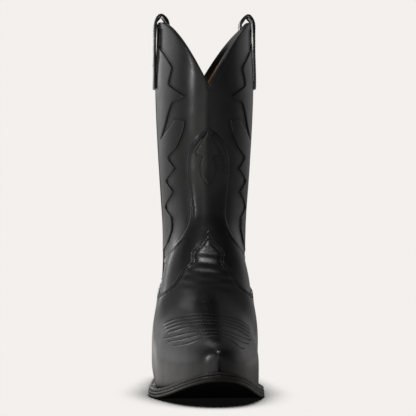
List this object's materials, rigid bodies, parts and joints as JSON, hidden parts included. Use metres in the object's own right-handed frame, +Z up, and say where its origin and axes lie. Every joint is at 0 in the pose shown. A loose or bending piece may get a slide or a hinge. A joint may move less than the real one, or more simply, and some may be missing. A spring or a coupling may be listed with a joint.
{
  "type": "cowboy boot",
  "caption": "Right-foot leather cowboy boot with a scalloped shaft, pull straps, flame overlays, a tongued vamp, a welted sole and a stacked underslung heel.",
  "frame": {"origin": "centre of the boot's bounding box in plan, on the floor it stands on", "axes": "+Z up along the shaft, toe towards -Y, inner (medial) side of the right foot towards +X"},
  "size_m": [0.1128, 0.3046, 0.3723],
  "materials": {
    "upper_leather": "glossy black calf",
    "lining_leather": "smooth tan lining leather",
    "stiffener_board": "stiff leather board",
    "insole_leather": "vegetable-tanned, undyed",
    "cork": "ground cork and binder",
    "shank_steel": "spring steel strip",
    "sole_leather": "black-dyed sole leather, waxed edge",
    "heel_rubber": "hard black rubber",
    "nail_steel": "bright steel"
  },
  "bodies": {
    "root": {"vamp": "upper_leather", "heel_counter": "upper_leather", "shaft_front": "upper_leather", "shaft_back": "upper_leather", "pull_strap_inner": "upper_leather", "pull_strap_outer": "upper_leather", "side_piping_inner": "upper_leather", "side_piping_outer": "upper_leather", "top_binding_front": "upper_leather", "top_binding_back": "upper_leather", "flame_front_inner": "upper_leather", "flame_front_outer": "upper_leather", "flame_back_inner": "upper_leather", "flame_back_outer": "upper_leather", "medallion_front": "upper_leather", "medallion_back": "upper_leather", "shaft_lining_front": "lining_leather", "shaft_lining_back": "lining_leather", "vamp_lining": "lining_leather", "heel_lining": "lining_leather", "sock_liner": "lining_leather", "toe_puff": "stiffener_board", "heel_stiffener": "stiffener_board", "insole": "insole_leather", "cork_filler": "cork", "steel_shank": "shank_steel", "outsole": "sole_leather", "welt": "sole_leather", "heel_rand": "sole_leather", "heel_lift_1": "sole_leather", "heel_lift_2": "sole_leather", "heel_lift_3": "sole_leather", "heel_lift_4": "sole_leather", "heel_cap": "heel_rubber", "heel_nail_1": "nail_steel", "heel_nail_2": "nail_steel", "heel_nail_3": "nail_steel", "heel_nail_4": "nail_steel", "heel_nail_5": "nail_steel"}
  },
  "joints": []
}
